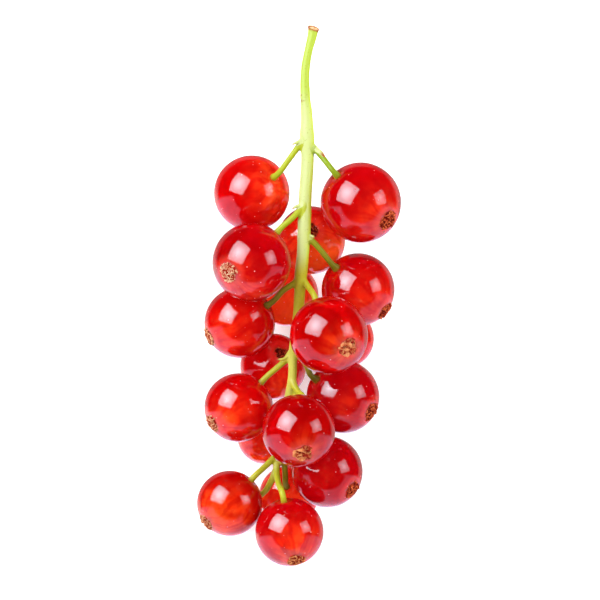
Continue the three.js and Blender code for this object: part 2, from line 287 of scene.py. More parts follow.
# As shares of a softbox's side: how far its bright spot reaches, and where its seams begin.
SPOT_REACH, SEAM_START, SEAM_END = 0.42, 0.43, 0.5
CLOTH_GLOW, SPOT_GLOW = 0.84, 1.84


def brighten_middle(lamp):
    """A softbox is brightest in its middle, where its bulb is, and fades out at its seams."""
    lamp.use_nodes = True
    tree = lamp.node_tree
    on_cloth = tree.nodes.new("ShaderNodeNewGeometry").outputs["Parametric"]
    from_bulb = distance_to(tree, on_cloth, (0.5, 0.5, 0.0))
    strength = from_to(tree, ramp(tree, from_bulb, SPOT_REACH, 0.0), CLOTH_GLOW, SPOT_GLOW)
    sides = split(tree, on_cloth)
    for side in ("X", "Y"):
        from_middle = sums(tree, "ABSOLUTE", sums(tree, "SUBTRACT", sides[side], 0.5))
        strength = sums(tree, "MULTIPLY", strength, ramp(tree, from_middle, SEAM_END, SEAM_START))
    tree.links.new(strength, tree.nodes["Emission"].inputs["Strength"])


def add_softbox(name, across, up, size, mirrored, light):
    """Two lamps in one place: one that is only mirrored, and one that only gives light.

    across and up are the directions of two sides, size says how long they are as shares of the
    distance, and mirrored and light say how bright the two lamps are.
    """
    side = Vector(across).normalized()
    away = side.cross(Vector(up)).normalized()
    turn = Matrix((side, away.cross(side), away)).transposed().to_4x4()
    for purpose, radiance in (("mirrored", mirrored), ("light", light)):
        bpy.ops.object.light_add(type="AREA")
        lamp = bpy.context.object
        lamp.name = name + "_" + purpose
        lamp.matrix_world = Matrix.Translation(SPRIG_MIDDLE + away * LAMP_DISTANCE) @ turn
        lamp.data.shape = "RECTANGLE"
        lamp.data.size, lamp.data.size_y = size[0] * LAMP_DISTANCE, size[1] * LAMP_DISTANCE
        lamp.data.energy = radiance * WATTS_PER_RADIANCE * lamp.data.size * lamp.data.size_y
        if purpose == "mirrored":
            brighten_middle(lamp.data)
        lamp.data.color = MIRRORED_WHITE if purpose == "mirrored" else COOL_WHITE
        lamp.visible_camera = False
        lamp.visible_glossy = purpose == "mirrored"
        lamp.visible_diffuse = lamp.visible_transmission = purpose == "light"


add_softbox("main_softbox", (0.511, 0.852, -0.115), (-0.6, 0.258, -0.757), (1.08, 1.05), 11.0, 6.3)
add_softbox("side_softbox", (0.467, 0.232, -0.853), (-0.304, 0.948, 0.091), (0.63, 0.64), 4.6, 4.5)

# %% The white of the room, below the sprig and in front of it
world = bpy.data.worlds.new("studio")
bpy.context.scene.world = world
world.use_nodes = True
room = world.node_tree
facing = split(room, room.nodes.new("ShaderNodeTexCoord").outputs["Generated"])
upper_left = sums(room, "MULTIPLY_ADD", facing["X"], -0.35,
                  sums(room, "MULTIPLY", facing["Y"], 0.9))
# Each row fades the white along one direction: between which two ends, and from what to what.
WHITE_BELOW = [
    (facing["Z"], (-0.48, -0.66), (0.0, 1.0)),
    (facing["Z"], (-0.75, -1.0), (1.75, 1.05)),
    (upper_left, (0.42, 0.05), (0.25, 1.0)),
    (facing["X"], (0.4, -0.2), (0.4, 1.0)),
]
WHITE_IN_FRONT = [
    (facing["Y"], (-0.1, -0.2), (0.0, 1.0)),
    (facing["Z"], (0.55, 0.4), (0.0, 1.0)),
    (facing["X"], (0.4, -0.1), (0.65, 1.0)),
]


def faded(rows):
    """The strength of a white that all these rows fade."""
    strength = 1.0
    for direction, ends, levels in rows:
        fading = from_to(room, ramp(room, direction, *ends), *levels)
        strength = sums(room, "MULTIPLY", strength, fading)
    return strength


below, in_front = faded(WHITE_BELOW), faded(WHITE_IN_FRONT)
print("fadings of the room:", len(WHITE_BELOW) + len(WHITE_IN_FRONT))

# %% What the fruit mirrors, what it lets through and what lights the rest
WHITE_MIRRORED, WHITE_THROUGH, DARK_ROOM, AMBIENT = 1.65, 1.9, 0.02, 1.15
WHITE_TINT = (1.0, 0.88, 1.25)
# Seen through the fruit, the room is dark above the first of these and white under the second.
DARK_ABOVE, WHITE_UNDER = 0.3, 0.0
tinted_white = tuple(WHITE_MIRRORED * part for part in WHITE_TINT) + (1,)
mirrored = mix_colours(room, in_front, grey(DARK_ROOM), tinted_white)
mirrored = mix_colours(room, 1.0, mirrored, below, "LIGHTEN")
through = mix_colours(room, ramp(room, facing["Z"], DARK_ABOVE, WHITE_UNDER),
                      grey(DARK_ROOM), grey(WHITE_THROUGH))
ray = room.nodes.new("ShaderNodeLightPath").outputs
light = mix_colours(room, ray["Is Glossy Ray"], grey(AMBIENT), mirrored)
light = mix_colours(room, ray["Is Transmission Ray"], light, through)
room.links.new(light, room.nodes["Background"].inputs["Color"])
print("studio nodes:", len(room.nodes))

# %% [markdown]
# ## The skin of the berries
#
# A ripe redcurrant is a ball of clear juice in a thin glossy skin. Light goes in at one side and
# comes out at the other, so the fruit glows orange where the light leaves it, and is deep red
# where it doesn't. That orange glow is painted into the colour of the skin, as a painted glow at a
# spot given for each berry, stronger on the berries that lie in the shade of the others. Glass
# that is tinted red bends the light as the juice does, and a little scattering under the surface
# stands for the flesh and the seeds. The pale streaks that run to the flower end are the veins of
# the skin. They follow the berry's own axis, so each point of the mesh keeps where it was on the
# first ball, in an attribute that the material reads.

# %% What the skin reads at each point
berry_skin, tree, skin = new_finish("berry_skin")
place = tree.nodes.new("ShaderNodeTexCoord").outputs["Object"]
own = tree.nodes.new("ShaderNodeAttribute")
own.attribute_name = "grown"
axis = split(tree, own.outputs["Vector"])
lit_flesh = ramp(tree, cloudy(tree, place, 420.0, 3.0), 0.3, 0.7)
painted_glow_kept, deeper_kept, pucker_kept = (kept(tree, name) for name in ("painted_glow", "deeper", "pucker"))
print("nodes that read a berry:", len(tree.nodes))

# %% The veins: two waves round the axis, which wander a little
BROAD_VEINS, FINE_VEINS = 11.0, 29.0
turn = sums(tree, "ARCTAN2", axis["Y"], axis["X"])
bent_turn = sums(tree, "MULTIPLY_ADD", cloudy(tree, place, 300.0, 1.0), 0.8, turn)
broad_wave = sums(tree, "SINE", sums(tree, "MULTIPLY", bent_turn, BROAD_VEINS))
fine_wave = sums(tree, "SINE", sums(tree, "MULTIPLY", bent_turn, FINE_VEINS))
wave = sums(tree, "MULTIPLY_ADD", fine_wave, 0.6, broad_wave)
wave = sums(tree, "MULTIPLY", wave, ramp(tree, axis["Z"], -0.98, -0.8))
streaks = ramp(tree, sums(tree, "MULTIPLY_ADD", lit_flesh, 0.8, wave), -1.0, 1.2)
print("veins round a berry:", round(BROAD_VEINS), "broad and", round(FINE_VEINS), "fine")

# %% The juice: deep red, and painted orange where light leaves it
JUICE, LIT_JUICE = (0.47, 0.0, 0.0012, 1), (0.58, 0.001, 0.0015, 1)
DEEPER_JUICE = (0.27, 0.0, 0.006, 1)
PAINTED_GLOW_RED, STRONG_PAINTED_GLOW_RED = (1.0, 0.12, 0.022, 1), (1.0, 0.27, 0.03, 1)
FLOWER_RING, STALK_RING = (1.0, 0.2, 0.13, 1), (0.9, 0.22, 0.03, 1)
# Painted glow: round the spot kept for each berry the juice is painted orange, and on the
# strongest ones a brighter orange, in place of light shining out through it.
painted_glow = sums(tree, "MULTIPLY", painted_glow_kept, from_to(tree, lit_flesh, 0.4, 1.3))
painted_glow = sums(tree, "MULTIPLY", painted_glow, from_to(tree, streaks, 0.55, 1.15))
strong_painted_glow = sums(tree, "MULTIPLY", ramp(tree, painted_glow_kept, 0.9, 1.5), 0.4)
by_flower = sums(tree, "MULTIPLY", ramp(tree, axis["Z"], 0.86, 0.95), 0.35)
by_stalk = sums(tree, "MULTIPLY", ramp(tree, pucker_kept, 0.5, 0.85), 0.6)
tints = [(deeper_kept, DEEPER_JUICE), (painted_glow, PAINTED_GLOW_RED), (strong_painted_glow, STRONG_PAINTED_GLOW_RED),
         (by_flower, FLOWER_RING), (by_stalk, STALK_RING)]
juice = mix_colours(tree, lit_flesh, JUICE, LIT_JUICE)
for share, tint in tints:
    juice = mix_colours(tree, share, juice, tint)
print("tints over the juice:", len(tints))

# %% Pale specks in the skin, one in each small cell of a pattern
SPECK_CELLS, SPECK_COLOUR = 1100.0, (1.0, 0.7, 0.66, 1)
cells = tree.nodes.new("ShaderNodeTexVoronoi")
cells.inputs["Scale"].default_value = SPECK_CELLS
tree.links.new(place, cells.inputs["Vector"])
drawn = tree.nodes.new("ShaderNodeSeparateColor")
tree.links.new(cells.outputs["Color"], drawn.inputs[0])
speck = sums(tree, "MULTIPLY", ramp(tree, cells.outputs["Distance"], 0.13, 0.05),
             sums(tree, "MULTIPLY", ramp(tree, drawn.outputs["Red"], 0.2, 0.95), 0.75))
tree.links.new(mix_colours(tree, speck, juice, SPECK_COLOUR), skin.inputs["Base Color"])
print("width of a speck's cell in mm:", round(1 / SPECK_CELLS / MM, 1))

# %% The shader: clear juice and cloudy flesh under a glossy skin
skin.subsurface_method = "RANDOM_WALK"
skin.inputs["Subsurface Weight"].default_value = 1.0
skin.inputs["Subsurface Radius"].default_value = (1.0, 0.12, 0.08)
skin.inputs["Subsurface Scale"].default_value = 0.004
skin.inputs["Subsurface Anisotropy"].default_value = 0.7
skin.inputs["Transmission Weight"].default_value = 0.5
skin.inputs["Roughness"].default_value = 0.0
skin.inputs["IOR"].default_value = 1.42
wrinkles = sums(tree, "MULTIPLY", cloudy(tree, place, 1600.0, 3.0, 0.6),
                from_to(tree, pucker_kept, 0.4, 5.4))
bumps = sums(tree, "MULTIPLY_ADD", speck, 1.5, wrinkles)
tree.links.new(relief(tree, bumps, 0.2, 0.04 * MM), skin.inputs["Normal"])
print("skin nodes:", len(tree.nodes))

# %% [markdown]
# ## Growing the berries
#
# Every berry starts as the same ball with its poles at its two ends, so that its rings run round
# the axis as the veins run along it. The flower end is pressed in with proportional editing,
# which moves the points round the chosen one by less and less, as a thumb does in dough. Each
# copy is then sized, turned and placed, pressed in once more where its stalk holds it, and made
# a little uneven, so that the lamps in it aren't all alike. A berry that lies on the table is
# pressed flat there, as its own weight presses it.

# %% Helpers: choose one piece, and press a point of it
def only(piece):
    """Selects this piece alone, and makes it the active one."""
    bpy.ops.object.select_all(action="DESELECT")
    piece.select_set(True)
    bpy.context.view_layer.objects.active = piece


def press(piece, place, push, reach):
    """Moves the mesh point nearest to a place, and those within reach by less and less."""
    only(piece)
    nearest = min(piece.data.vertices, key=lambda v: (v.co - place).length_squared).index
    bpy.ops.object.mode_set(mode="EDIT")
    bpy.ops.mesh.select_mode(type="VERT")
    bpy.ops.mesh.select_all(action="DESELECT")
    bpy.ops.object.mode_set(mode="OBJECT")
    piece.data.vertices[nearest].select = True
    bpy.ops.object.mode_set(mode="EDIT")
    bpy.ops.transform.translate(
        value=push, use_proportional_edit=True, proportional_edit_falloff="SMOOTH",
        proportional_size=reach)
    bpy.ops.object.mode_set(mode="OBJECT")


def select_where(piece, chosen):
    """Selects the points of a mesh for which chosen is true, and enters edit mode."""
    only(piece)
    bpy.ops.object.mode_set(mode="EDIT")
    bpy.ops.mesh.select_mode(type="VERT")
    bpy.ops.mesh.select_all(action="DESELECT")
    bpy.ops.object.mode_set(mode="OBJECT")
    for vertex in piece.data.vertices:
        vertex.select = chosen(vertex)
    bpy.ops.object.mode_set(mode="EDIT")


print("helpers for one piece:", [f.__name__ for f in (only, press, select_where)])

# %% Helpers: place, copy and modify a piece, and keep numbers in it
def stand(piece, place, facing, size, turn=0.0):
    """Sizes a piece made round the origin and facing +Z, turns it, places it and applies that."""
    aim = Vector((0, 0, 1)).rotation_difference(Vector(facing)).to_matrix().to_4x4()
    piece.matrix_world = (
        Matrix.Translation(place) @ aim @ Matrix.Rotation(turn, 4, "Z") @ Matrix.Scale(size, 4))
    only(piece)
    bpy.ops.object.transform_apply(location=True, rotation=True, scale=True)


def copy_of(piece, name):
    """A copy of a piece, with its own mesh."""
    only(piece)
    bpy.ops.object.duplicate(linked=False)
    bpy.context.object.name = name
    return bpy.context.object


def modify(piece, kind, **settings):
    """Gives a piece one modifier with these settings, and applies it."""
    only(piece)
    modifier = piece.modifiers.new(kind.lower(), kind)
    for name, value in settings.items():
        setattr(modifier, name, value)
    bpy.ops.object.modifier_apply(modifier=modifier.name)


def keep(piece, name, values):
    """Keeps a number for each point of a mesh, for its material to read."""
    piece.data.attributes.new(name, "FLOAT", "POINT").data.foreach_set("value", values)


print("helpers for places and marks:", [f.__name__ for f in (stand, copy_of, modify, keep)])

# %% The first ball, one unit in radius
FLOWER_PIT, FLOWER_PIT_REACH = 0.08, 0.32
bpy.ops.object.select_all(action="DESELECT")
bpy.ops.mesh.primitive_uv_sphere_add(segments=96, ring_count=64, radius=1.0)
ball = bpy.context.object
ball.name = "ball"
press(ball, Vector((0, 0, 1)), (0, 0, -FLOWER_PIT), FLOWER_PIT_REACH)
grown = ball.data.attributes.new("grown", "FLOAT_VECTOR", "POINT")
for vertex, stored in zip(ball.data.vertices, grown.data):
    stored.vector = vertex.co
bpy.ops.object.shade_smooth()
ball.data.materials.append(berry_skin)
print("ball:", len(ball.data.polygons), "faces")

# %% Where each berry's painted glow sits, and which berries are a deeper red
# The painted glow, seen from above, in berry radii: how far across and up, how wide and how
# strong.
PAINTED_GLOW = {
    "01": (0.75, 0.15, 0.9, 1.0), "02": (0.5, -0.45, 0.8, 0.5), "03": (-0.2, -0.55, 0.7, 0.45),
    "04": (0.3, -0.75, 1.45, 1.9), "05": (0.35, -0.45, 0.9, 0.4), "06": (0.35, -0.3, 0.6, 0.75),
    "07": (-0.2, -0.35, 0.8, 0.55), "08": (0.1, -0.5, 1.8, 1.5), "09": (0.4, -0.75, 0.8, 1.4),
    "10": (-0.25, -0.3, 0.7, 0.75), "11": (0.15, -0.25, 0.5, 0.3), "12": (0.25, -0.5, 0.6, 0.45),
    "13": (0.1, -0.1, 0.5, 0.15), "14": (-0.3, -0.5, 1.1, 1.15), "15": (0.25, -0.5, 0.9, 0.9),
    "16": (0.0, -0.4, 1.8, 1.25), "17": (0.0, -0.3, 2.0, 0.9), "18": (0.2, -0.3, 1.8, 0.4),
    "19": (0.0, -0.3, 1.5, 0.5),
}
# Some berries are a deeper red all over, by these shares.
DEEPER = {"02": 0.25, "03": 0.35, "05": 0.2, "11": 0.4, "13": 0.35, "12": 0.15, "15": 0.2}
# How far a painted glow of width 1 reaches round the berry, and how far the puckers do, in
# radians.
PAINTED_GLOW_REACH, PUCKER_REACH = 1.5, 0.75
LOWEST_RISE = 0.05


def painted_glow_of(berry, middle, across, up, wide, strong):
    """How strongly each point is painted with glow: less and less, smoothly, away from the bright
    spot.
    """
    rise = math.sqrt(max(LOWEST_RISE, 1 - across ** 2 - up ** 2))
    bright = Vector((across, up, rise)).normalized()
    values = []
    for vertex in berry.data.vertices:
        share = max(0.0, 1 - (vertex.co - middle).angle(bright) / (wide * PAINTED_GLOW_REACH))
        values.append(strong * share * share * (3 - 2 * share))
    return values


def pucker_of(berry, middle, toward_stalk):
    """How near each point is to the stalk end, where the skin is drawn in."""
    away = [(vertex.co - middle).angle(toward_stalk) for vertex in berry.data.vertices]
    return [max(0.0, 1 - angle / PUCKER_REACH) ** 2 for angle in away]


print("berries with a glow:", len(PAINTED_GLOW), "and riper than the rest:", len(DEEPER))

# %% Nineteen berries
STALK_PIT, STALK_PIT_REACH = 0.4 * MM, 1.3 * MM
UNEVENNESS = 0.07 * MM
uneven = bpy.data.textures.new("uneven", type="CLOUDS")
uneven.noise_scale = 5.0 * MM
for number, middle, radius, stalk_end, flower_end, route in BERRIES:
    berry = copy_of(ball, "skin_of_berry_" + number)
    stand(berry, placed(middle), flower_end, radius * MM)
    toward_stalk = Vector(stalk_end).normalized()
    held_at = placed(middle) + toward_stalk * radius * MM
    press(berry, held_at, -toward_stalk * STALK_PIT, STALK_PIT_REACH)
    modify(berry, "DISPLACE", texture=uneven, texture_coords="GLOBAL", strength=UNEVENNESS)
    if middle[2] < radius:
        select_where(berry, lambda v: v.co.z < 0)
        bpy.ops.transform.resize(value=(1, 1, 0), center_override=(0, 0, 0))
        bpy.ops.object.mode_set(mode="OBJECT")
    keep(berry, "painted_glow", painted_glow_of(berry, placed(middle), *PAINTED_GLOW[number]))
    keep(berry, "pucker", pucker_of(berry, placed(middle), toward_stalk))
    keep(berry, "deeper", [DEEPER.get(number, 0.0)] * len(berry.data.vertices))
    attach(berry, "root")
    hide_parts("berry_" + number)
bpy.data.objects.remove(ball)

# %% [markdown]
# ## The dry flowers
#
# At the far end of a berry sits what is left of its flower. Its lobes have dried, curled inwards
# over each other, stuck together and crumpled to a brown papery knot. We make one lobe, extruded
# row by row along a curling path, and pinch every second column of it for the pleats. Three rings
# of such lobes stand inside each other on a small pad, and a voxel remesh melts them into one
# closed knot. The folds come last: a marbled pattern pushes the surface in and out, and it
# follows the place in the room, so that no two flowers are alike. Shade sits in the creases of a
# real one, so the mesh measures its own hollows and the material paints them dark as painted
# shade.

# %% One lobe, extruded along a curling path
# In berry radii: distance from the axis, height, half of the width.
LOBE_PATH = [
    (0.12, -0.05, 0.05), (0.19, -0.03, 0.075), (0.24, 0.005, 0.088), (0.25, 0.045, 0.086),
    (0.215, 0.08, 0.075), (0.15, 0.095, 0.055), (0.08, 0.1, 0.035), (0.02, 0.095, 0.015),
]
LOBE_COLUMNS = 6
# Every second column is drawn in by this much, which makes the pleats.
PLEATED = (0.87, 1, 0.93)

bpy.ops.object.select_all(action="DESELECT")
bpy.ops.mesh.primitive_grid_add(x_subdivisions=1, y_subdivisions=LOBE_COLUMNS, size=1.0)
lobe = bpy.context.object
lobe.name = "lobe"
(first, low, half), (second, high, wider) = LOBE_PATH[:2]
lobe.scale = (second - first, 2 * half, 1)
lobe.location = ((first + second) / 2, 0, low)
bpy.ops.object.transform_apply(location=True, rotation=False, scale=True)
select_where(lobe, lambda v: v.co.x > (first + second) / 2)
bpy.ops.transform.translate(value=(0, 0, high - low))
bpy.ops.transform.resize(value=(1, wider / half, 1), center_override=(0, 0, 0))
for (out, height, width), (next_out, next_height, next_width) in zip(LOBE_PATH[1:], LOBE_PATH[2:]):
    bpy.ops.mesh.extrude_region_move(
        TRANSFORM_OT_translate={"value": (next_out - out, 0, next_height - height)})
    bpy.ops.transform.resize(value=(1, next_width / width, 1), center_override=(0, 0, 0))
bpy.ops.object.mode_set(mode="OBJECT")
lobe_columns = {}
for vertex in lobe.data.vertices:
    row = min(LOBE_PATH, key=lambda r: abs(r[0] - vertex.co.x) + abs(r[1] - vertex.co.z))
    lobe_columns[vertex.index] = round((vertex.co.y / row[2] + 1) / 2 * LOBE_COLUMNS)
select_where(lobe, lambda v: lobe_columns[v.index] % 2 == 1)
bpy.ops.transform.resize(value=PLEATED, center_override=(0, 0, 0))
bpy.ops.object.mode_set(mode="OBJECT")
print("lobe:", len(lobe.data.polygons), "faces")

# %% Three rings of lobes, and the pad that they stand on
# For each ring: how many lobes, their size and how high they stand.
RINGS = [(8, 1.0, 0.0), (6, 0.7, 0.03), (4, 0.42, 0.05)]
PAD_RADIUS, PAD_FLATNESS = 0.2, 0.35
LOBE_THICKNESS = 0.02
# How unlike in size the lobes of a ring are, and how far they lean, in radians. The two waves
# round the ring don't repeat within it, so that no lobe is like its neighbour.
UNLIKE, LEANING = 0.09, 0.3
SIZE_WAVE, LEAN_WAVE = 2.3, 4.1
# Each ring is turned further than the one outside it, by this share of the step between lobes.
RING_TURN = 0.4

bpy.ops.object.select_all(action="DESELECT")
bpy.ops.mesh.primitive_uv_sphere_add(segments=16, ring_count=8, radius=PAD_RADIUS)
flower = bpy.context.object
flower.name = "dry_flower"
flower.scale = (1, 1, PAD_FLATNESS)
bpy.ops.object.transform_apply(location=True, rotation=False, scale=True)
lobes = []
for ring, (count, size, height) in enumerate(RINGS):
    for index in range(count):
        petal = copy_of(lobe, f"lobe_{ring}_{index}")
        uneven_size = size * (1.0 + UNLIKE * math.sin(index * SIZE_WAVE + ring))
        lean = Matrix.Rotation(LEANING * math.sin(index * LEAN_WAVE + ring), 4, "X")
        turn = Matrix.Rotation((index + RING_TURN * ring) / count * 2 * math.pi, 4, "Z")
        rise = Matrix.Translation((0, 0, height))
        petal.matrix_world = rise @ turn @ lean @ Matrix.Scale(uneven_size, 4)
        lobes.append(petal)
bpy.ops.object.select_all(action="DESELECT")
for petal in lobes:
    petal.select_set(True)
bpy.context.view_layer.objects.active = lobes[0]
bpy.ops.object.transform_apply(location=True, rotation=True, scale=True)
bpy.ops.object.join()
lobes = bpy.context.object
modify(lobes, "SOLIDIFY", thickness=LOBE_THICKNESS, offset=0.0)
print("rings of lobes:", len(lobes.data.polygons), "faces")

# %% Join the lobes and the pad, and melt them into one closed knot
def melt(piece, grain, rounds):
    """Melts crossing shapes into one closed skin with small faces, and then smooths it."""
    modify(piece, "REMESH", mode="VOXEL", voxel_size=grain)
    modify(piece, "SMOOTH", factor=0.5, iterations=rounds)


flower.select_set(True)
bpy.context.view_layer.objects.active = flower
bpy.ops.object.join()
bpy.data.objects.remove(lobe)
melt(flower, grain=0.0105, rounds=3)
bpy.ops.object.shade_smooth()
print("flower:", len(flower.data.polygons), "faces")

# %% The patterns of the folds: marbled ridges, fine crumbs and broad puffs
ridges = bpy.data.textures.new("ridges", type="MARBLE")
ridges.noise_scale = 0.85 * MM
ridges.noise_depth = 1
ridges.turbulence = 19.0
crumbs = bpy.data.textures.new("crumbs", type="CLOUDS")
crumbs.noise_scale = 0.2 * MM
puffs = bpy.data.textures.new("puffs", type="CLOUDS")
puffs.noise_type = "HARD_NOISE"
puffs.noise_scale = 1.1 * MM
puffs.noise_depth = 0
FOLDED = [(ridges, 0.26 * MM), (crumbs, 0.12 * MM)]
PUFFED_UP = [(puffs, 0.45 * MM), (crumbs, 0.05 * MM)]
# These two dried with broad puffed lobes, whose hollows are shallow.
PUFFY = ("06", "12")
# Their hollows get less painted shade.
PUFFY_SHIFT = -0.55
print("patterns:", [bumps.name for bumps in (ridges, crumbs, puffs)])

# %% Helpers that crumple a flower and measure its hollows
SPREAD = 0.25


def crumple(piece, folds):
    """Pushes the surface in and out by one pattern after the other."""
    for bumps, depth in folds:
        modify(piece, "DISPLACE", texture=bumps, texture_coords="GLOBAL", strength=depth)


def hollows_of(piece, rounds):
    """How far each point lies below its neighbours, evened out a little from point to point."""
    mesh = piece.data
    depth = [0.0] * len(mesh.vertices)
    for edge in mesh.edges:
        first, second = (mesh.vertices[i] for i in edge.vertices)
        apart = second.co - first.co
        depth[first.index] += apart.dot(first.normal) / apart.length
        depth[second.index] -= apart.dot(second.normal) / apart.length
    for _ in range(rounds):
        spread = list(depth)
        for edge in mesh.edges:
            first, second = edge.vertices
            spread[first] += depth[second] * SPREAD
            spread[second] += depth[first] * SPREAD
        depth = [value / 2 for value in spread]
    return depth


print("helpers for folds:", [f.__name__ for f in (crumple, hollows_of)])

# %% The material of the dry flowers, with painted shade in their hollows
dry_brown, tree, husk = new_finish("dry_flower")
place = tree.nodes.new("ShaderNodeTexCoord").outputs["Object"]
age_and_shade_kept = kept(tree, "age_and_shade")
grainy = ramp(tree, cloudy(tree, place, 1500.0, 4.0), 0.35, 0.65)
# Pale, tan and dark: the flower's own age, and partly painted shade, by the number that each
# flower keeps.
pale = mix_colours(tree, grainy, linear("#c08e68"), linear("#d2b490"))
tan = mix_colours(tree, grainy, linear("#b05c30"), linear("#cc8452"))
dark = mix_colours(tree, grainy, linear("#982a14"), linear("#c6582e"))
colour = mix_colours(tree, ramp(tree, age_and_shade_kept, 0.0, 0.5), pale, tan)
colour = mix_colours(tree, ramp(tree, age_and_shade_kept, 0.5, 1.0), colour, dark)
# Painted shade: the deeper a point lies in a hollow, the more it takes the dark crease colour.
crease_shade = mix_colours(tree, age_and_shade_kept, linear("#8c1408"), linear("#520200"))
colour = mix_colours(tree, ramp(tree, kept(tree, "hollow"), -0.9, 0.25), colour, crease_shade)
tree.links.new(colour, husk.inputs["Base Color"])
husk.inputs["Roughness"].default_value = 0.85
husk.inputs["Specular IOR Level"].default_value = 0.05
print("dry flower nodes:", len(tree.nodes))

# %% Nineteen dry flowers, each turned its own way
# In berry radii: how far a flower's foot sinks into the bottom of its pit.
FLOWER_SUNK = 0.005
# Some flowers are smaller. At 0 a flower is pale, at 0.5 tan and from 1 on dark. This number is
# partly the flower's own age and partly painted shade, darker on the flowers that face away from
# the main lamp.
SHRUNK = {"09": 0.75, "04": 0.9}
AGE_AND_SHADE = {"09": 1.2, "03": 0.0, "07": 0.25, "10": 0.25, "14": 0.25, "15": 0.5, "06": 0.4, "12": 0.45}
USUAL_AGE_AND_SHADE = 0.9
flower.data.materials.append(dry_brown)
for turn, (number, middle, radius, stalk_end, flower_end, route) in enumerate(BERRIES):
    husk_copy = copy_of(flower, "dry_flower_" + number)
    reach = 1 - FLOWER_PIT - FLOWER_SUNK
    foot = placed(middle) + Vector(flower_end).normalized() * radius * reach * MM
    stand(husk_copy, foot, flower_end, radius * SHRUNK.get(number, 1.0) * MM, turn=float(turn))
    crumple(husk_copy, PUFFED_UP if number in PUFFY else FOLDED)
    hollows = hollows_of(husk_copy, rounds=2)
    shift = PUFFY_SHIFT if number in PUFFY else 0.0
    keep(husk_copy, "hollow", [hollow + shift for hollow in hollows])
    keep(husk_copy, "age_and_shade", [AGE_AND_SHADE.get(number, USUAL_AGE_AND_SHADE)] * len(hollows))
    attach(husk_copy, "root")
    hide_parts("flower_" + number)
bpy.data.objects.remove(flower)
print("hollows of the last one:", round(min(hollows), 2), "to", round(max(hollows), 2))

# %% [markdown]
# ## The stalk
#
# The green stalk grew as one piece, so it is made as one skin. First it is drawn in millimetres
# as round curves, one for the main stalk and one for each thin stalk, with a radius at each
# point. A voxel remesh then melts the crossing tubes into one closed surface, and smoothing
# rounds the forks, which gives the soft webs that a living fork has. The main stalk is drawn a
# little too long, and a slanting plane then cuts its end, as the knife did.

# %% The main stalk: x, y, z and radius, from the cut end down. It swells at each fork
MAIN_STALK = [
    (2.3, 39.9, 15.2, 0.92), (1.95, 37.9, 15.5, 0.66), (1.45, 35.9, 15.8, 0.58),
    (0.95, 32.85, 16.0, 0.62), (0.95, 29.2, 16.2, 0.7), (1.15, 26.45, 16.3, 0.83),
    (1.2, 23.0, 16.3, 1.05), (1.28, 20.2, 16.3, 0.9), (0.95, 14.6, 16.3, 0.91),
    (0.8, 10.1, 16.2, 0.93), (0.6, 6.2, 15.8, 0.86), (0.35, 3.7, 15.4, 0.9),
    (0.15, 0.8, 14.7, 0.77), (-0.05, -2.25, 14.0, 0.74), (-0.4, -5.3, 13.5, 0.72),
    (-0.85, -8.35, 13.1, 0.63), (-0.87, -10.4, 12.8, 0.6), (-0.95, -11.6, 12.6, 0.6),
    (-1.4, -13.95, 12.1, 0.56), (-2.1, -17.0, 11.5, 0.5), (-2.7, -20.1, 11.1, 0.47),
    (-3.2, -23.4, 10.9, 0.42),
]
print("points down the main stalk:", len(MAIN_STALK))

# %% The dry scales under the forks, and a knot
# For each scale: where it leaves the stalk, its bend and its tip.
SCALES = [
    [(0.2, 22.75, 16.4), (-0.5, 22.4, 16.9), (-1.0, 22.1, 17.0)],
    [(2.6, 21.4, 16.6), (3.1, 21.25, 17.0), (3.7, 20.7, 17.1)],
    [(0.1, 13.4, 16.8), (-0.5, 13.15, 17.2), (-1.0, 12.8, 17.2)],
    [(1.5, 9.0, 16.2), (2.0, 8.9, 16.6), (2.4, 8.7, 16.7)],
    [(-1.6, -8.6, 13.2), (-2.5, -8.9, 13.4), (-3.2, -8.9, 13.3)],
    [(-2.6, -22.6, 11.1), (-2.5, -23.7, 11.4), (-2.55, -24.4, 11.3)],
]
SCALE_RADII = [0.2, 0.17, 0.08]
KNOT = [(0.75, 29.1, 16.3), (0.5, 29.1, 16.4), (0.2, 29.1, 16.45)]
KNOT_RADII = [0.3, 0.38, 0.2]
print("dry scales:", len(SCALES))

# %% Helper: draw one twig, and note what each stretch of it belongs to
# The smoothing that follows makes every twig this much thinner, so it is drawn thicker.
SMOOTHING_LOSS = 0.05
MAIN, THIN, SCALE = range(3)
STEPS = 8
drawing = bpy.data.curves.new("stalk", "CURVE")
drawing.dimensions = "3D"
drawing.bevel_depth = 1.0
drawing.bevel_resolution = 4
drawing.resolution_u = 12
drawing.use_fill_caps = True
# Places along the twigs: where, which kind of twig, share of the way, how brown (partly painted
# shade), how leafy.
markers = []


def draw(points, radii, kind, brown=0.0, leafy=0.0):
    """Draws one twig through these points, and leaves markers along it."""
    twig = drawing.splines.new("BEZIER")
    twig.bezier_points.add(len(points) - 1)
    twig.radius_interpolation = "EASE"
    for drawn, point, radius in zip(twig.bezier_points, points, radii):
        drawn.co = Vector(point) + ORIGIN_SHIFT
        drawn.radius = radius + SMOOTHING_LOSS
        drawn.handle_left_type = drawn.handle_right_type = "AUTO"
    for stretch, (start, end) in enumerate(zip(points, points[1:])):
        for step in range(STEPS + 1):
            place = Vector(start).lerp(Vector(end), step / STEPS)
            way = (stretch + step / STEPS) / (len(points) - 1)
            markers.append((place, kind, way, brown, leafy))


print("kinds of twig:", {"main": MAIN, "thin": THIN, "scale": SCALE})

# %% Draw them all. A thin stalk ends in a collar, which reaches into the pit of its berry
# In millimetres from the fork on, and at the collar.
THIN_STALK_RADII = [0.54, 0.44, 0.4]
COLLAR_RADIUS = {"05": 0.68, "11": 0.62, "15": 0.42, "14": 0.48, "10": 0.48}
USUAL_COLLAR = 0.56
# The last two points of a thin stalk: this far outside its berry and this far inside it.
APPROACH, COLLAR_DEPTH = 1.0, 0.9
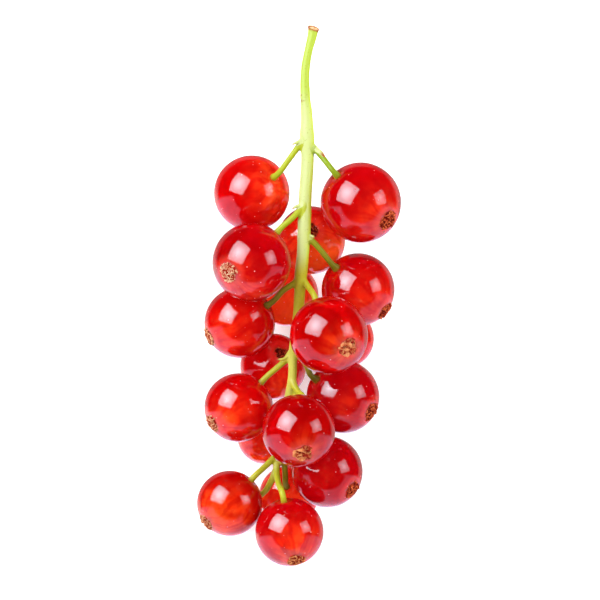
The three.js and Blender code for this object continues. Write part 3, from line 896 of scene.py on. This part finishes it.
# How brown a thin stalk is by the time it reaches its berry, and which ones are leafy green. The
# brown is partly painted shade: thin stalks that lie in the shade of the berries are painted
# darker.
BROWNING_AND_SHADE = {
    "02": 0.35, "05": 0.85, "07": 0.75, "10": 0.2, "11": 1.0, "14": 0.2, "16": 0.6, "18": 0.6,
    "19": 0.3,
}
USUAL_BROWNING_AND_SHADE = 0.1
LEAFY = {"01": 0.4, "02": 0.8, "03": 0.4, "05": 0.3, "15": 0.2}
draw([row[:3] for row in MAIN_STALK], [row[3] for row in MAIN_STALK], MAIN)
for number, middle, radius, stalk_end, flower_end, route in BERRIES:
    toward = Vector(stalk_end).normalized()
    outside = Vector(middle) + toward * (radius + APPROACH)
    inside = Vector(middle) + toward * (radius - COLLAR_DEPTH)
    points = [*route, outside, inside]
    between = len(points) - len(THIN_STALK_RADII) - 1
    radii = THIN_STALK_RADII + [THIN_STALK_RADII[-1]] * between
    radii.append(COLLAR_RADIUS.get(number, USUAL_COLLAR))
    draw(points, radii, THIN, BROWNING_AND_SHADE.get(number, USUAL_BROWNING_AND_SHADE), LEAFY.get(number, 0.0))
for scale in SCALES:
    draw(scale, SCALE_RADII, SCALE, 1.0)
draw(KNOT, KNOT_RADII, MAIN)
print("curves:", len(drawing.splines))

# %% Melt them into one skin, cut its end and bring it from millimetres to metres
CUT_MIDDLE = Vector((2.2, 39.05, 15.3)) + ORIGIN_SHIFT
CUT_FACING = Vector((0.26, 0.9, 0.34))
EDGE_ANGLE = math.radians(50)
stalk = bpy.data.objects.new("green_stalk", drawing)
bpy.context.collection.objects.link(stalk)
only(stalk)
bpy.ops.object.convert(target="MESH")
melt(stalk, grain=0.105, rounds=14)
bpy.ops.object.mode_set(mode="EDIT")
bpy.ops.mesh.select_all(action="SELECT")
bpy.ops.mesh.bisect(plane_co=CUT_MIDDLE, plane_no=CUT_FACING, use_fill=True, clear_outer=True)
bpy.ops.object.mode_set(mode="OBJECT")
stalk.scale = (MM, MM, MM)
bpy.ops.object.transform_apply(scale=True)
bpy.ops.object.shade_smooth_by_angle(angle=EDGE_ANGLE)
print("stalk:", len(stalk.data.polygons), "faces")

# %% What each point of the skin keeps: its nearest marker, and how much painted light it gets
# Painted light: the side of the skin that faces this way is painted a paler green, and the other
# side a deeper one.
PAINTED_LIGHT_FROM = Vector((-0.6, 0.2, 0.75)).normalized()
finder = kdtree.KDTree(len(markers))
for index, marker in enumerate(markers):
    finder.insert(placed(marker[0]), index)
finder.balance()
notes = {name: [] for name in ("way", "scale", "brown", "leafy", "painted_light")}
for vertex in stalk.data.vertices:
    _, nearest, _ = finder.find(vertex.co)
    _, kind, way, brown, leafy = markers[nearest]
    notes["way"].append(way if kind == THIN else 0.0)
    notes["scale"].append(way if kind == SCALE else 0.0)
    notes["brown"].append(brown)
    notes["leafy"].append(leafy)
    notes["painted_light"].append(vertex.normal.dot(PAINTED_LIGHT_FROM))
for name, values in notes.items():
    keep(stalk, name, values)
print("markers:", len(markers))

# %% [markdown]
# ## The colours of the stalk
#
# A cut stalk is fresh green at its top, paler in its middle, where the lit side is painted whitish
# as a painted highlight, and more and more yellow toward its tip, and its thin stalks turn brown
# on the way to their berries. A picture could be painted for it, but a forked skin doesn't unfold
# neatly into one. So the place along the sprig gives the greens of the main stalk, each with a
# paler painted-light side and a deeper painted-shade side, and the numbers that each point keeps
# say how far along a thin stalk it is, and how brown, partly as painted shade, or leafy that one
# has grown. Small marks come last, over the rest: freckles, the knot, the dry scales and the cut,
# where the pith shows.

# %% The greens down the main stalk
# For each green: its painted shade and its painted light, for the sides facing away from the lamp
# and toward it.
# The second green, whitish on its lit side, is a painted highlight on the middle stretch of the
# stalk.
GREENS = [("#98ac0c", "#96a63c"), ("#adbc1d", "#a8b070"), ("#a09008", "#a09726"),
          ("#a0980e", "#b2ae48")]
# Between these two places along the sprig, in millimetres, one green turns into the next.
TURNS = [(31, 26), (7, 3), (-3, -10)]
stalk_skin, tree, rind = new_finish("stalk_skin")
place = tree.nodes.new("ShaderNodeTexCoord").outputs["Object"]
along = split(tree, place)["Y"]
way = kept(tree, "way")
mottle = cloudy(tree, place, 900.0, 4.0)
painted_light = ramp(tree, sums(tree, "MULTIPLY_ADD", mottle, 0.5, kept(tree, "painted_light")), -0.35, 1.15)
greens = [mix_colours(tree, painted_light, linear(shade), linear(lit)) for shade, lit in GREENS]
colour = greens[0]
for (upper, lower), green in zip(TURNS, greens[1:]):
    colour = mix_colours(tree, ramp(tree, along, upper * MM, lower * MM), colour, green)
print("greens down the main stalk:", len(greens))

# %% The thin stalks: leafy or browning, the browning partly painted shade, and brown at their ends
# Painted light here too: the lit side of a thin stalk is painted paler.
thin = mix_colours(tree, painted_light, linear("#8e8a10"), linear("#a6a224"))
thin = mix_colours(tree, kept(tree, "leafy"), thin, linear("#6c8c04"))
browning = sums(tree, "MULTIPLY", kept(tree, "brown"),
                from_to(tree, ramp(tree, way, 0.2, 0.9), 0.5, 1.0))
thin = mix_colours(tree, browning, thin, linear("#4c4002"))
thin_end = sums(tree, "MULTIPLY", ramp(tree, way, 0.84, 0.93), 0.7)
thin = mix_colours(tree, thin_end, thin, linear("#8a5a18"))
colour = mix_colours(tree, ramp(tree, way, 0.04, 0.3), colour, thin)
print("leafy and browning thin stalks:", len(LEAFY), "and", len(BROWNING_AND_SHADE))

# %% Freckles, the knot, the dry scales and the cut end
def close_to(point, outer, inner):
    """1 within the inner distance of a point in millimetres, and 0 outside the outer one."""
    away = distance_to(tree, place, Vector(point) * MM)
    return ramp(tree, away, outer * MM, inner * MM)


KNOT_SPOT = (0.35, 28.9, 16.7)
freckles = sums(tree, "MULTIPLY", ramp(tree, cloudy(tree, place, 3600.0, 2.0), 0.6, 0.7), 0.3)
colour = mix_colours(tree, freckles, colour, linear("#6c6404"))
knot = sums(tree, "MULTIPLY", close_to(KNOT_SPOT, 0.9, 0.2), ramp(tree, mottle, 0.45, 0.6))
colour = mix_colours(tree, knot, colour, linear("#7c4414"))
colour = mix_colours(tree, ramp(tree, kept(tree, "scale"), 0.5, 1.0), colour, linear("#8a4a1c"))
colour = mix_colours(tree, close_to(CUT_MIDDLE, 1.0, 0.85), colour, linear("#84481e"))
in_pith = ramp(tree, cloudy(tree, place, 2600.0, 3.0), 0.45, 0.6)
pith = mix_colours(tree, in_pith, linear("#d8a878"), linear("#8c5028"))
colour = mix_colours(tree, close_to(CUT_MIDDLE, 0.75, 0.5), colour, pith)
tree.links.new(colour, rind.inputs["Base Color"])
print("knot at", KNOT_SPOT, "and cut at", [round(part, 2) for part in CUT_MIDDLE])

# %% The shader of the stalk: a dull gloss over fine fibres
rind.inputs["Roughness"].default_value = 0.38
rind.inputs["Specular IOR Level"].default_value = 0.12
rind.inputs["Subsurface Weight"].default_value = 0.15
rind.inputs["Subsurface Radius"].default_value = (0.8, 1.0, 0.2)
rind.inputs["Subsurface Scale"].default_value = 0.0006
stretched = tree.nodes.new("ShaderNodeMapping")
stretched.inputs["Scale"].default_value = (1.0, 0.12, 1.0)
tree.links.new(place, stretched.inputs["Vector"])
fibres = cloudy(tree, stretched.outputs["Vector"], 5000.0, 3.0)
tree.links.new(relief(tree, fibres, 0.4, 0.06 * MM), rind.inputs["Normal"])
stalk.data.materials.append(stalk_skin)
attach(stalk, "root")
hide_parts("stalk")
print("stalk nodes:", len(tree.nodes))
